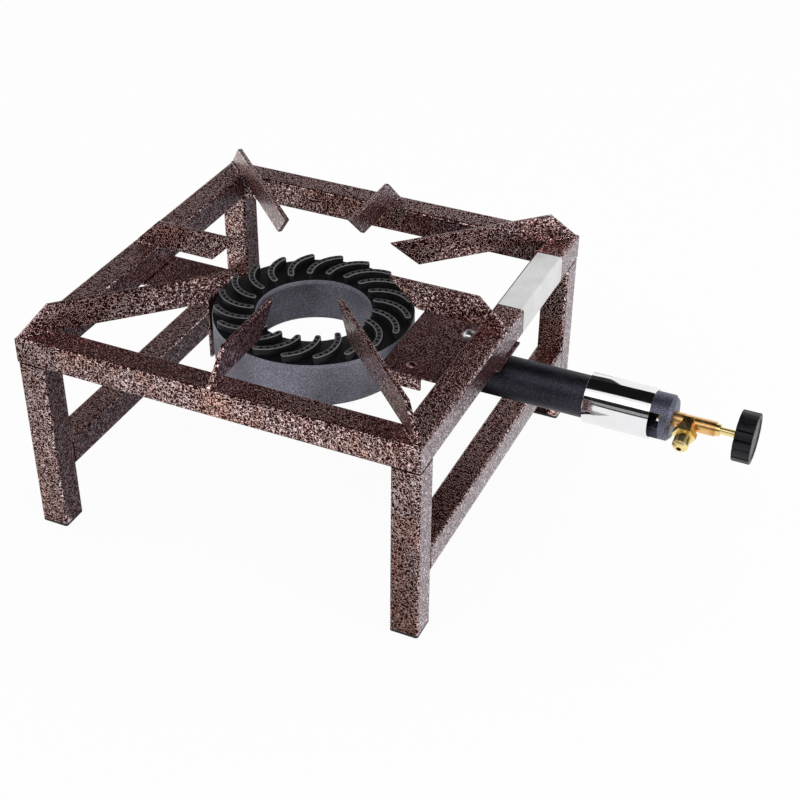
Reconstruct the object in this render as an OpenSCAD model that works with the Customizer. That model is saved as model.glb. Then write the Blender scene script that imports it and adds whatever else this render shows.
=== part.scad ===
// Gas stool burner: a square tube stand with eight pot supports, a cast ring burner with a long
// mixing tube, a sliding air sleeve and a needle valve with a knob.
// +X runs along the mixing tube towards the knob, +Y to the back, +Z up, in millimetres.
// Everything is drawn about the ring's axis and set down with the origin under the middle of its box.

/* [Stand] */
// Outside width and depth of the square top frame
frame_w = 360; // [330:5:420]
// Height of the rails' upper face above the floor
stand_height = 190; // [160:5:240]
// Width of the square tube
tube_w = 25; // [20:1:30]
// Wall of the square tube
tube_wall = 1.5; // [1:0.25:2.5]
// Outer corner radius of the square tube
tube_round = 2.5; // [1.5:0.25:3.5]
// Height of the middle of the side stretchers above the floor
stretcher_mid = 65.5; // [40:0.5:100]

/* [Foot plugs] */
// Thickness of the pad under each leg
pad_thick = 2.5; // [1.5:0.5:5]
// Depth of the plug inside the leg
plug_depth = 14; // [8:1:20]
// Wall of the hollow plug
plug_wall = 2; // [1.5:0.25:3]
// Clearance of the plug in the leg, each side
plug_fit = 0.15; // [0.1:0.05:0.4]

/* [Pot supports] */
// Height of the flat bars
support_h = 25; // [18:1:35]
// Thickness of the flat bars
support_t = 4; // [3:0.5:6]
// How far the cut ends lean in over the height of the bar
support_lean = 26; // [12:1:34]
// Length along the foot of the corner supports
corner_support_len = 154; // [120:1:165]
// Length along the foot of the side supports
side_support_len = 80; // [55:1:90]
// Distance of a support's outer foot from the edge of the frame
support_setback = 1.5; // [1:0.5:5]

/* [Brackets] */
// Thickness of the bracket sheet
sheet_t = 2; // [1.5:0.25:3]
// Outer bend radius of the brackets
bend_r = 3.5; // [3.25:0.25:5]
// Width of the left bracket
left_bracket_w = 54; // [40:1:70]
// Depth of the left bracket's flange below the rail
left_bracket_drop = 60; // [45:1:70]
// Gap between the ring and the left bracket's flange
flange_gap = 2; // [1:0.5:4]
// Width of the right plate
right_plate_w = 120; // [110:1:140]
// Corner radius of the right plate beside the ring
right_plate_round = 10; // [4:1:14]
// Gap between the ring and the right plate
plate_gap = 1.5; // [1:0.25:4]
// Width of the right plate's tongue under the rail
tongue_w = 48; // [42:1:70]
// How far the tongue shows past the rail's outer face
tongue_lip = 2; // [0.5:0.5:4]
// Width of the clips under the right plate
clip_w = 27; // [18:1:30]
// Length of the clip's foot under the plate
clip_foot = 26; // [18:1:28]
// Depth of the clip below the plate
clip_drop = 11.5; // [8:0.5:20]
// Distance of the middle of the clips from the plate's edge beside the ring
clip_inset = 24; // [21:1:28]

/* [Fasteners] */
// Shank diameter of the clip rivets
rivet_d = 5; // [4:0.5:6]
// Diameter of the rivet heads
rivet_head_d = 10; // [9:0.5:12]
// Height of the rivet heads
rivet_head_h = 2.5; // [2:0.25:3.5]
// Clearance of the rivets in their holes, each side
rivet_fit = 0.1; // [0.05:0.05:0.3]
// Thread diameter of the burner screw
screw_d = 6; // [5:0.5:8]
// Diameter of the burner screw's pan head
screw_head_d = 12; // [11:0.5:14]
// Height of the burner screw's head
screw_head_h = 4; // [3:0.25:5]
// Width of the screwdriver slot
screw_slot_w = 1.6; // [1:0.1:2]
// Depth of the screwdriver slot
screw_slot_h = 1.8; // [1:0.1:2.4]
// Angle of the screwdriver slot from the tube's axis
screw_turn = 26; // [0:2:90]
// Distance of the burner screw from the inner face of the right rail
screw_inset = 15; // [10:0.5:22]
// Distance of the burner screw from the tube's axis, towards the back
screw_side = 14.5; // [0:0.5:16]
// Clearance of the screw in the plate, each side
screw_clear = 0.3; // [0.2:0.05:0.6]
// Clearance of the screw in its thread, each side
screw_fit = 0.05; // [0.03:0.01:0.1]
// Thickness of the washer under the screw's head
washer_t = 1.6; // [0.8:0.1:1.6]
// Diameter of the washer under the screw's head
washer_d = 13.5; // [12.5:0.5:16]

/* [Ring burner] */
// Outside diameter of the ring
ring_d = 176; // [160:1:190]
// Diameter of the hole in the middle of the ring
ring_hole_d = 101; // [80:1:110]
// Wall of the ring
ring_wall = 4; // [3.5:0.25:6]
// Thickness of the ring's floor
ring_floor = 5; // [4:0.5:7]
// Height of the ring's flat top above the axis of the mixing tube
ring_rise = 18.8; // [17:0.2:24]
// Depth of the ring below the axis of the mixing tube
ring_drop = 23; // [20:0.5:30]
// Chamfer of the ring's hole at its underside
hole_chamfer = 4.2; // [1:0.2:5]
// Chamfer of the ring's outer lower edge
foot_chamfer = 1.5; // [0.5:0.25:3]
// Thickness of the burner head's plate
head_t = 4.2; // [3:0.2:6]
// Depth of the head's skirts in the rebates of the ring
skirt_h = 3; // [2:0.5:4]
// Thickness of the head's skirts
skirt_t = 1.5; // [1:0.25:2]
// Clearance of the skirts in the rebates
skirt_fit = 0.25; // [0.1:0.05:0.5]
// Gap between the head's rim and the mixing tube
head_gap = 0.3; // [0.2:0.1:1]
// Diameter of the cast stud that hangs the ring in the left bracket
stud_d = 10; // [8:0.5:12]
// Clearance of the stud in the left bracket, each side
stud_fit = 0.3; // [0.2:0.05:0.6]
// How far the stud shows past the left bracket
stud_past = 6; // [3:0.5:10]

/* [Flame ribs] */
// Number of curved ribs on the head
rib_count = 20; // [16:1:22]
// Width of a rib
rib_w = 5.4; // [4.5:0.1:6]
// Height of the ribs above the head's flat top
rib_h = 6.6; // [3:0.2:8]
// Angle of the first rib's inner end from the mixing tube
rib_turn = -5.4; // [-9:0.2:9]
// Angle that a rib sweeps round the ring
rib_sweep = 20.5; // [12:0.5:24]
// Lean of a rib from the radius at its inner end
rib_lean = 12; // [0:1:20]
// Distance of the ribs from the rims of the head
rib_edge = 1.2; // [0.4:0.1:2]
// Step on both sides of a rib's round ends
rib_shoulder = 0.3; // [0.2:0.1:1]
// Number of flame ports along a rib
port_count = 7; // [5:1:8]
// Diameter of a flame port
port_d = 2.8; // [1.5:0.1:3]

/* [Mixing tube] */
// Outside diameter of the mixing tube
mixer_d = 36; // [32:0.5:38]
// Bore of the mixing tube at the ring
mixer_bore_d = 26; // [22:0.5:28]
// Bore at the throat
throat_d = 18; // [14:0.5:20]
// Bore of the air chamber behind the jet
chamber_d = 28; // [24:0.5:30]
// Gap between the mixing tube and the right plate
mixer_gap = 0.6; // [0.4:0.1:3]
// Distance of the tube's end from the rail's outer face
tube_overhang = 145; // [125:1:180]
// Thickness of the tube's end wall
end_wall = 8; // [6:0.5:12]
// Chamfer of the tube's end
end_chamfer = 3; // [2:0.5:5]
// Diameter of the air sleeve's seat on the tube
seat_d = 38.28; // [38.1:0.02:40]
// Distance of the seat's start from the sleeve's end
seat_inset = 2; // [1:0.5:6]
// Length of the air windows along the tube
window_len = 24; // [16:1:30]
// Distance of the air windows from the tube's end
window_back = 9; // [9:0.5:14]
// Angle that an air window spans round the tube
window_span = 94; // [60:2:100]
// Angle of the middle of an air window below the horizontal
window_tilt = 10; // [0:1:20]
// Diameter of the screw boss on the tube
boss_d = 16; // [13:0.5:20]
// Metal left between the screw hole and the bore
boss_skin = 1.5; // [1:0.25:2]

/* [Air sleeve] */
// Length of the air sleeve
sleeve_len = 55; // [40:1:60]
// Sheet thickness of the air sleeve
sleeve_t = 2; // [1:0.1:3]
// Running clearance of the sleeve on its seat, each side
sleeve_fit = 0.06; // [0.03:0.01:0.1]
// Length of air window left open in the position shown
window_shown = 8.4; // [4:0.2:12]

/* [Needle valve] */
// Diameter of the valve's threaded nose in the tube's end wall
nose_d = 10; // [9:0.5:11]
// Clearance of the nose in the end wall, each side
nose_fit = 0.05; // [0.03:0.01:0.1]
// How far the nose shows inside the end wall
nose_past = 2; // [1:0.5:4]
// Diameter of the valve's barrel beside the tube
collar_d = 13; // [12.5:0.25:15]
// Length of the barrel beside the tube
collar_len = 8; // [5:0.5:10]
// Diameter of the valve's barrel
barrel_d = 12.2; // [11:0.2:13]
// Length of the valve body outside the tube
valve_len = 34; // [30:1:45]
// Distance of the inlet branch from the tube's end
branch_off = 12; // [10:0.5:14]
// Width across flats of the inlet branch
branch_af = 14; // [13:0.5:16]
// Length of the inlet branch from the valve's axis
branch_len = 9; // [9:0.5:14]
// Angle of the inlet below the horizontal
inlet_tilt = 15; // [0:5:60]
// Bore of the gas passage to the jet
passage_d = 2.4; // [2:0.1:3]
// Distance of the needle's seat from the tube's end
seat_off = 4; // [3:0.5:5]
// Diameter of the spindle
spindle_d = 6; // [5:0.25:6.5]
// Running clearance round the spindle, each side
spindle_fit = 0.05; // [0.03:0.01:0.1]
// Distance of the spindle's front end from the tube's end
spindle_off = 17; // [16:0.5:20]
// Diameter of the needle
needle_d = 3; // [2.6:0.1:3.4]
// Length of the needle inside the spindle
needle_hold = 5; // [3:0.5:8]
// Radius of the needle's point
needle_point_r = 0.4; // [0.2:0.1:0.6]
// Length of the needle's cone in the passage
needle_cone = 2.5; // [2:0.25:3]
// Depth of the gland chamber
gland_depth = 8; // [6:0.5:10]
// Diameter of the gland chamber
gland_bore_d = 8.4; // [8:0.1:9]
// Clearance of packing and gland nut in the gland chamber, each side
gland_fit = 0.05; // [0.03:0.01:0.1]
// Length of the packing ring
packing_len = 3; // [2:0.25:4]
// Diameter of the gland nut's collar
gland_d = 10.2; // [9.2:0.1:11]
// Length of the gland nut's collar
gland_t = 3.6; // [2:0.2:6]

/* [Jet] */
// Thread diameter of the jet
jet_d = 6; // [5:0.5:6.5]
// Length of the jet's thread inside the nose
jet_hold = 6; // [5:0.5:7]
// Width across flats of the jet's head
jet_af = 8; // [7:0.5:9]
// Length of the jet's head
jet_head = 2.5; // [2:0.25:4]
// Length of the jet's tapered tip
jet_tip = 3; // [2:0.25:4]
// Diameter of the jet's hole
jet_hole_d = 0.9; // [0.5:0.1:1.4]

/* [Inlet nipple] */
// Outside diameter of the inlet thread
inlet_d = 13.16; // [12:0.01:16.7]
// Length of the inlet thread
inlet_len = 10.5; // [7:0.5:12]
// Radius of the nipple's round nose
inlet_nose_r = 8; // [7.8:0.1:9]
// Width across flats of the nipple's hexagon
inlet_af = 17; // [16:0.5:19]
// Thickness of the nipple's hexagon
inlet_hex_t = 5.5; // [4:0.5:8]
// Bore of the nipple
inlet_bore_d = 4.2; // [3:0.1:5]
// Diameter of the nipple's spigot in the branch
spigot_d = 8; // [7:0.25:9]
// Length of the nipple's spigot in the branch
spigot_len = 4.5; // [3:0.25:5]
// Clearance of the spigot in the branch, each side
spigot_fit = 0.05; // [0.03:0.01:0.1]
// Thickness of the inlet's sealing washer
seal_t = 1; // [0.6:0.1:1.6]

/* [Knob] */
// Diameter of the knob
knob_d = 42; // [36:0.5:50]
// Thickness of the knob
knob_t = 14.6; // [12:0.2:18]
// Distance of the knob from the gland nut
knob_gap = 13.8; // [6:0.2:18]
// Number of grip grooves round the knob
groove_count = 16; // [12:1:20]
// Diameter of the cutter that makes a grip groove
groove_d = 4; // [3:0.25:5]
// Depth of a grip groove
groove_h = 1.1; // [0.6:0.1:1.6]
// Wall of the knob's rim and front
knob_wall = 3.2; // [2.5:0.1:4]
// Diameter of the knob's hub
hub_d = 14; // [11:0.5:16]
// Chamfer of the knob's front edge
knob_chamfer = 1.2; // [0.6:0.1:2]
// Depth of the dished front face
dish_h = 0.8; // [0.4:0.1:1.2]
// Length of the spindle inside the knob
spindle_hold = 10; // [7:0.5:10.5]
// Distance of the spindle's flat from its axis
flat_off = 2; // [1.6:0.1:2.2]

/* [Label] */
// Length of the blank label along the right rail
label_len = 97; // [60:1:110]
// Distance of the label from the back end of the right rail
label_inset = 48; // [30:1:60]
// Thickness of the label
label_t = 0.25; // [0.15:0.05:0.5]
// Bare margin beside the label on both faces
label_margin = 2; // [1:0.5:5]

/* [Hidden] */
$fn = 96;
// Spare length by which a cutter passes the surface that it cuts
past = 1;
// Gap that keeps two touching round faces apart
skin_gap = 0.02;

paint = "#5b3a30";
iron = "#25272c";
plating = "#c9ccd1";
brass = "#c8993f";
plastic = "#1a1a1d";

half = frame_w / 2;
rail_mid = half - tube_w / 2;
rail_under = stand_height - tube_w;
tube_inner = tube_w - 2 * tube_wall;
tube_inner_round = max(tube_round - tube_wall, 0.25);
plug_w = tube_inner - 2 * plug_fit;
plug_round = max(tube_inner_round - plug_fit, 0.1);

plate_under = rail_under - sheet_t;
axis_z = plate_under - mixer_gap - mixer_d / 2;

ring_r = ring_d / 2;
hole_r = ring_hole_d / 2;
ring_bottom = axis_z - ring_drop;
ring_top = axis_z + ring_rise;
head_seat = ring_top - head_t;
flange_x = ring_r + flange_gap;
plate_x = ring_r + plate_gap;
screw_x = half - tube_w - screw_inset;
screw_reach = min(max(screw_side - screw_d / 2, 0), mixer_bore_d / 2);
screw_floor = axis_z + sqrt(pow(mixer_bore_d / 2, 2) - pow(screw_reach, 2)) + boss_skin;

rib_in = hole_r + rib_edge + rib_w / 2;
rib_out = ring_r - rib_edge - rib_w / 2;
rib_dx = rib_out * cos(rib_sweep) - rib_in;
rib_dy = rib_out * sin(rib_sweep);
rib_half_turn = atan2(rib_dy, rib_dx) - rib_lean;
rib_bend = norm([rib_dx, rib_dy]) / (2 * sin(rib_half_turn));
rib_start = 90 - rib_lean;
rib_centre = [rib_in - rib_bend * cos(rib_start), -rib_bend * sin(rib_start)];
port_in = hole_r + ring_wall + port_d / 2 + skirt_fit;
port_out = ring_r - ring_wall - port_d / 2 - skirt_fit;
rebate_floor = head_seat - skirt_h - skirt_fit;
rebate_out = ring_r - ring_wall + skirt_t + skirt_fit;
rebate_in = hole_r + ring_wall - skirt_t - skirt_fit;

end_x = half + tube_overhang;
window_far = end_x - window_back;
window_near = window_far - window_len;
sleeve_right = window_far - window_shown;
sleeve_left = sleeve_right - sleeve_len;
seat_start = sleeve_left + seat_inset;
seat_r = seat_d / 2;
throat_x = window_near - (chamber_d - throat_d);

nose_start = end_x - end_wall - nose_past;
jet_shoulder = nose_start;
branch_x = end_x + branch_off;
seat_x = end_x + seat_off;
spindle_front = end_x + spindle_off;
valve_end = end_x + valve_len;
gland_start = valve_end - gland_depth;
gland_end = valve_end + gland_t;
knob_back = gland_end + knob_gap;
knob_end = knob_back + knob_t;
spindle_back = knob_back + spindle_hold;
needle_slope = (passage_d / 2 - spindle_fit - needle_point_r) / needle_cone;
needle_shoulder = seat_x + (needle_d / 2 - passage_d / 2 + spindle_fit) / needle_slope;

label_start = half - label_inset - label_len;

part_mid_x = (knob_end - half) / 2;

// Moves the model from the ring's axis to the middle of its box
module set_down() {
    translate([-part_mid_x, 0, 0]) children();
}

// Stands a shape drawn along +Z on the axis of the mixing tube, so that its height runs along +X
module along_tube() {
    translate([0, 0, axis_z]) rotate([0, 90, 0]) children();
}

// Stands a shape drawn along +Z on the valve's axis, so that its height runs along the inlet
module along_inlet() {
    translate([branch_x, 0, axis_z]) rotate([90 + inlet_tilt, 0, 0]) children();
}

// Square with round corners, about its middle
module round_square(width, radius) {
    square([width - 2 * radius, width], center = true);
    square([width, width - 2 * radius], center = true);
    for (x = [-1, 1], y = [-1, 1])
        translate([x * (width / 2 - radius), y * (width / 2 - radius)]) circle(radius);
}

// Cross-section of the square tube
module tube_section() {
    difference() {
        round_square(tube_w, tube_round);
        round_square(tube_inner, tube_inner_round);
    }
}

// Round bar with a hole through it, standing on the floor of its own frame
module ring_bar(outer_d, inner_d, length) {
    difference() {
        cylinder(d = outer_d, h = length);
        translate([0, 0, -past]) cylinder(d = inner_d, h = length + 2 * past);
    }
}

// Hexagonal bar given by its width across flats, with two corners on the X axis
module hex_bar(flats, length) {
    cylinder(d = flats / cos(30), h = length, $fn = 6);
}

// Round head with a domed top, standing on the floor of its own frame
module dome(diameter, height) {
    dome_r = (diameter * diameter / 4 + height * height) / (2 * height);
    intersection() {
        translate([0, 0, height - dome_r]) sphere(dome_r);
        cylinder(d = diameter + past, h = height + past);
    }
}

// Top rail, mitred at both ends; turn 0 is the front one
module rail(turn) {
    cut = 4 * tube_w;
    color(paint) set_down() rotate([0, 0, turn]) translate([0, -rail_mid, rail_under + tube_w / 2])
        difference() {
            rotate([90, 0, 90]) linear_extrude(frame_w, center = true) tube_section();
            for (side = [-1, 1])
                translate([side * half, -tube_w / 2, 0]) rotate([0, 0, 90 - side * 45])
                    translate([0, -cut / 2, -cut / 2]) cube(cut);
        }
}

// Leg under the corner on the given sides
module leg(side_x, side_y) {
    color(paint) set_down() translate([side_x * rail_mid, side_y * rail_mid, pad_thick])
        linear_extrude(rail_under - pad_thick) tube_section();
}

// Lower stretcher between two legs, on the given side
module stretcher(side_x) {
    color(paint) set_down() translate([side_x * rail_mid, 0, stretcher_mid]) rotate([90, 0, 0])
        linear_extrude(frame_w - 2 * tube_w, center = true) tube_section();
}

// Plastic plug in the lower end of a leg
module foot_plug(side_x, side_y) {
    color(plastic) set_down() translate([side_x * rail_mid, side_y * rail_mid, 0]) {
        linear_extrude(pad_thick) round_square(tube_w, tube_round);
        linear_extrude(pad_thick + plug_depth) difference() {
            round_square(plug_w, plug_round);
            round_square(plug_w - 2 * plug_wall, plug_round);
        }
    }
}

// Flat bar on edge, with its foot along +X and both ends leaning the same way
module support_bar(length) {
    rotate([90, 0, 0]) linear_extrude(support_t, center = true) polygon([
        [0, 0], [length, 0], [length + support_lean, support_h], [support_lean, support_h]
    ]);
}

// Pot support at the middle of a side; turn 0 is the front one
module side_support(turn) {
    color(paint) set_down() rotate([0, 0, turn]) translate([0, support_setback - half, stand_height])
        rotate([0, 0, 90]) support_bar(side_support_len);
}

// Pot support on a corner's diagonal; turn 0 is the front left one
module corner_support(turn) {
    color(paint) set_down() rotate([0, 0, turn + 45])
        translate([support_setback + support_t / 2 - half * sqrt(2), 0, stand_height])
            support_bar(corner_support_len);
}

// Outline of a sheet bent down at its right end, drawn with the bend's outer corner at the origin
module bent_outline(leaf, drop) {
    difference() {
        union() {
            translate([-leaf, -sheet_t]) square([leaf, sheet_t]);
            translate([-sheet_t, -drop]) square([sheet_t, drop]);
            translate([-bend_r, -bend_r]) square(bend_r);
        }
        translate([-bend_r, -bend_r]) difference() {
            square(bend_r + past);
            circle(bend_r);
        }
        translate([-bend_r, -bend_r]) intersection() {
            translate([-past, -past]) square(bend_r + past);
            circle(bend_r - sheet_t);
        }
    }
}

// Bent bracket under the left rail, whose flange holds the ring's stud
module left_bracket() {
    color(paint) set_down() difference() {
        translate([-flange_x, 0, rail_under]) rotate([90, 0, 0])
            linear_extrude(left_bracket_w, center = true)
                bent_outline(half - tube_wall - flange_x, left_bracket_drop);
        translate([-flange_x, 0, axis_z]) rotate([0, 90, 0])
            cylinder(d = stud_d + 2 * stud_fit, h = 4 * bend_r, center = true);
    }
}

// Places a shape at both rivets of the right plate
module at_rivets() {
    for (side = [-1, 1])
        translate([plate_x + clip_inset, side * (right_plate_w - clip_foot - sheet_t) / 2, rail_under])
            children();
}

// Flat plate under the right rail, with the holes for the burner screw and the rivets
module right_plate() {
    plate_len = half - tube_w - plate_x;
    color(paint) set_down() difference() {
        translate([0, 0, plate_under]) linear_extrude(sheet_t) {
            translate([plate_x, right_plate_round - right_plate_w / 2])
                square([plate_len, right_plate_w - 2 * right_plate_round]);
            translate([plate_x + right_plate_round, -right_plate_w / 2])
                square([plate_len - right_plate_round, right_plate_w]);
            for (side = [-1, 1])
                translate([plate_x + right_plate_round, side * (right_plate_w / 2 - right_plate_round)])
                    circle(right_plate_round);
            translate([plate_x + right_plate_round, -tongue_w / 2])
                square([half + tongue_lip - plate_x - right_plate_round, tongue_w]);
        }
        translate([screw_x, screw_side, plate_under - past])
            cylinder(d = screw_d + 2 * screw_clear, h = sheet_t + 2 * past);
        at_rivets() translate([0, 0, -sheet_t - past])
            cylinder(d = rivet_d + 2 * rivet_fit, h = sheet_t + 2 * past);
    }
}

// Bent clip riveted under an edge of the right plate; side -1 is the front one
module clip(side) {
    color(paint) set_down() difference() {
        translate([plate_x + clip_inset, side * right_plate_w / 2, plate_under])
            rotate([90, 0, side * 90]) linear_extrude(clip_w, center = true)
                bent_outline(clip_foot, clip_drop);
        at_rivets() translate([0, 0, -2 * sheet_t - past])
            cylinder(d = rivet_d + 2 * rivet_fit, h = 2 * sheet_t + past);
    }
}

// The two rivets that hold the clips
module clip_rivets() {
    color(paint) set_down() at_rivets() {
        dome(rivet_head_d, rivet_head_h);
        translate([0, 0, -2 * sheet_t]) cylinder(d = rivet_d, h = 2 * sheet_t + past);
        translate([0, 0, -2 * sheet_t]) mirror([0, 0, 1]) dome(rivet_head_d, rivet_head_h);
    }
}

// Outside of the mixing tube, with the raised seat of the air sleeve and the chamfered end
module mixer_outside() {
    along_tube() rotate_extrude() polygon([
        [0, ring_r - ring_wall + past],
        [mixer_d / 2, ring_r - ring_wall + past],
        [mixer_d / 2, seat_start - seat_r + mixer_d / 2],
        [seat_r, seat_start],
        [seat_r, end_x - end_chamfer],
        [seat_r - end_chamfer, end_x],
        [0, end_x]
    ]);
}

// Way of the gas and air: air chamber, throat and widening bore into the ring
module mixer_inside() {
    along_tube() rotate_extrude() polygon([
        [0, hole_r + 2 * ring_wall],
        [mixer_bore_d / 2, hole_r + 2 * ring_wall],
        [mixer_bore_d / 2, ring_r + mixer_d],
        [throat_d / 2, throat_x],
        [chamber_d / 2, window_near],
        [chamber_d / 2, end_x - end_wall],
        [0, end_x - end_wall]
    ]);
}

// Cutters of the two air windows, on the front and back of the tube
module air_windows() {
    reach = 2 * seat_r;
    for (side = [-1, 1])
        along_tube() translate([0, 0, window_near]) rotate([0, 0, side * (90 - window_tilt)])
            linear_extrude(window_len) polygon([
                [0, 0],
                [reach * cos(window_span / 2), -reach * sin(window_span / 2)],
                [reach, 0],
                [reach * cos(window_span / 2), reach * sin(window_span / 2)]
            ]);
}

// Ring body, mixing tube, screw boss and stud in one casting
module burner_casting() {
    color(iron) set_down() difference() {
        union() {
            rotate_extrude() polygon([
                [hole_r + hole_chamfer, ring_bottom],
                [ring_r - foot_chamfer, ring_bottom],
                [ring_r, ring_bottom + foot_chamfer],
                [ring_r, head_seat],
                [hole_r, head_seat],
                [hole_r, ring_bottom + hole_chamfer]
            ]);
            mixer_outside();
            translate([screw_x, screw_side, axis_z]) cylinder(d = boss_d, h = plate_under - axis_z);
            translate([ring_wall / 2 - ring_r, 0, axis_z]) rotate([0, -90, 0])
                cylinder(d = stud_d, h = ring_wall / 2 + flange_gap + sheet_t + stud_past);
        }
        rotate_extrude() polygon([
            [hole_r + ring_wall, ring_bottom + ring_floor],
            [ring_r - ring_wall, ring_bottom + ring_floor],
            [ring_r - ring_wall, rebate_floor],
            [rebate_out, rebate_floor],
            [rebate_out, head_seat + past],
            [rebate_in, head_seat + past],
            [rebate_in, rebate_floor],
            [hole_r + ring_wall, rebate_floor]
        ]);
        translate([0, 0, head_seat]) cylinder(r = ring_r + head_gap, h = mixer_d);
        mixer_inside();
        air_windows();
        along_tube() translate([0, 0, end_x - end_wall - past])
            cylinder(d = nose_d + 2 * nose_fit, h = end_wall + 2 * past);
        translate([screw_x, screw_side, screw_floor]) cylinder(d = screw_d, h = mixer_d);
    }
}

// Angle round a rib's own centre at which the rib reaches the given radius of the ring
function rib_angle(radius) = atan2(rib_centre[1], rib_centre[0])
    + acos((pow(radius, 2) - rib_centre * rib_centre - pow(rib_bend, 2)) / (2 * rib_bend * norm(rib_centre)));

// Outline of one curved rib, from its inner end on the +X axis outwards
module rib_outline() {
    reach = 2 * rib_bend;
    stop = rib_start - 2 * rib_half_turn;
    translate(rib_centre) {
        intersection() {
            difference() {
                circle(rib_bend + rib_w / 2);
                circle(rib_bend - rib_w / 2);
            }
            polygon([
                [0, 0],
                reach * [cos(rib_start), sin(rib_start)],
                reach * [cos(rib_start - rib_half_turn), sin(rib_start - rib_half_turn)],
                reach * [cos(stop), sin(stop)]
            ]);
        }
        for (angle = [rib_start, stop])
            rotate(angle) translate([rib_bend, 0]) circle(rib_w / 2 - rib_shoulder);
    }
}

// Holes of the flame ports along one rib, all of them over the ring's hollow
module port_outline() {
    first = rib_angle(port_in);
    step = (rib_angle(port_out) - first) / (port_count - 1);
    translate(rib_centre) for (port = [0 : port_count - 1])
        rotate(first + port * step) translate([rib_bend, 0]) circle(d = port_d, $fn = 24);
}

// Round skirt under the head, with its outer radius
module head_skirt(outer_r) {
    translate([0, 0, head_seat - skirt_h]) ring_bar(2 * outer_r, 2 * (outer_r - skirt_t), skirt_h + past);
}

// Head of the burner: a flat ring with curved ribs and their flame ports
module burner_head() {
    color(iron) set_down() difference() {
        union() {
            translate([0, 0, head_seat]) ring_bar(ring_d, ring_hole_d, head_t);
            head_skirt(ring_r - ring_wall + skirt_t);
            head_skirt(hole_r + ring_wall);
            for (rib = [0 : rib_count - 1])
                rotate(rib_turn + rib * 360 / rib_count) translate([0, 0, ring_top - past])
                    linear_extrude(rib_h + past) rib_outline();
        }
        for (rib = [0 : rib_count - 1])
            rotate(rib_turn + rib * 360 / rib_count) translate([0, 0, head_seat - skirt_h - past])
                linear_extrude(ring_rise + rib_h + skirt_h) port_outline();
    }
}

// Slotted screw through the right plate into the tube's boss
module burner_screw() {
    shank = sheet_t + washer_t + plate_under - screw_floor - past;
    color(plating) set_down() translate([screw_x, screw_side, rail_under + washer_t]) {
        difference() {
            dome(screw_head_d, screw_head_h);
            translate([0, 0, screw_head_h]) rotate([0, 0, screw_turn])
                cube([2 * screw_head_d, screw_slot_w, 2 * screw_slot_h], center = true);
        }
        translate([0, 0, -shank])
            cylinder(d = screw_d - 2 * screw_fit, h = shank + screw_head_h - screw_slot_h);
    }
}

// Washer under the burner screw
module screw_washer() {
    color(plating) set_down() translate([screw_x, screw_side, rail_under])
        ring_bar(washer_d, screw_d + 2 * screw_clear, washer_t);
}

// Sleeve that slides along the tube over the air windows
module air_sleeve() {
    inner_d = seat_d + 2 * sleeve_fit;
    color(plating) set_down() along_tube() translate([0, 0, sleeve_left])
        ring_bar(inner_d + 2 * sleeve_t, inner_d, sleeve_len);
}

// Jet in the nose of the valve
module gas_jet() {
    color(brass) set_down() along_tube() difference() {
        union() {
            translate([0, 0, jet_shoulder - jet_head - jet_tip])
                cylinder(d1 = jet_af / 2, d2 = jet_af - 1, h = jet_tip);
            translate([0, 0, jet_shoulder - jet_head]) hex_bar(jet_af, jet_head);
            translate([0, 0, jet_shoulder - jet_head]) cylinder(d = jet_d, h = jet_head + jet_hold);
        }
        translate([0, 0, jet_shoulder - jet_head - jet_tip - past])
            cylinder(d = jet_hole_d, h = jet_tip + jet_head + jet_hold + 2 * past);
        translate([0, 0, jet_shoulder - jet_head]) cylinder(d = jet_d / 2, h = jet_head + jet_hold + past);
    }
}

// Valve body: threaded nose, barrel and the hexagonal branch of the inlet
module valve_body() {
    color(brass) set_down() difference() {
        union() {
            along_tube() translate([0, 0, nose_start]) cylinder(d = nose_d, h = end_wall + nose_past + past);
            along_tube() translate([0, 0, end_x]) cylinder(d = collar_d, h = collar_len);
            along_tube() translate([0, 0, end_x]) cylinder(d = barrel_d, h = valve_len);
            along_inlet() hex_bar(branch_af, branch_len);
        }
        along_tube() translate([0, 0, nose_start - past])
            cylinder(d = jet_d + 2 * nose_fit, h = jet_hold + nose_fit + past);
        along_tube() translate([0, 0, nose_start]) cylinder(d = passage_d, h = seat_x - nose_start + past);
        along_tube() translate([0, 0, seat_x])
            cylinder(d = spindle_d + 2 * spindle_fit, h = valve_end - seat_x + past);
        along_tube() translate([0, 0, gland_start]) cylinder(d = gland_bore_d, h = gland_depth + past);
        along_inlet() cylinder(d = inlet_bore_d, h = branch_len + past);
        along_inlet() translate([0, 0, branch_len - spigot_len])
            cylinder(d = spigot_d + 2 * spigot_fit, h = spigot_len + past);
    }
}

// Sealing washer between branch and nipple
module inlet_seal() {
    color("#b4693c") set_down() along_inlet() translate([0, 0, branch_len])
        ring_bar(branch_af, spigot_d + 2 * spigot_fit, seal_t);
}

// Inlet nipple: spigot, hexagon, outside thread and round nose
module inlet_nipple() {
    hex_start = branch_len + seal_t;
    thread_start = hex_start + inlet_hex_t;
    nose_start_z = thread_start + inlet_len;
    nose_centre = nose_start_z - sqrt(inlet_nose_r * inlet_nose_r - inlet_d * inlet_d / 4);
    color(brass) set_down() along_inlet() difference() {
        union() {
            translate([0, 0, branch_len - spigot_len + past / 2])
                cylinder(d = spigot_d, h = spigot_len + seal_t + past);
            translate([0, 0, hex_start]) hex_bar(inlet_af, inlet_hex_t);
            translate([0, 0, thread_start]) cylinder(d = inlet_d, h = inlet_len);
            intersection() {
                translate([0, 0, nose_centre]) sphere(inlet_nose_r);
                translate([0, 0, thread_start]) cylinder(d = inlet_d, h = inlet_len + inlet_nose_r);
            }
        }
        cylinder(d = inlet_bore_d, h = nose_start_z + 2 * inlet_nose_r);
    }
}

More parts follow.
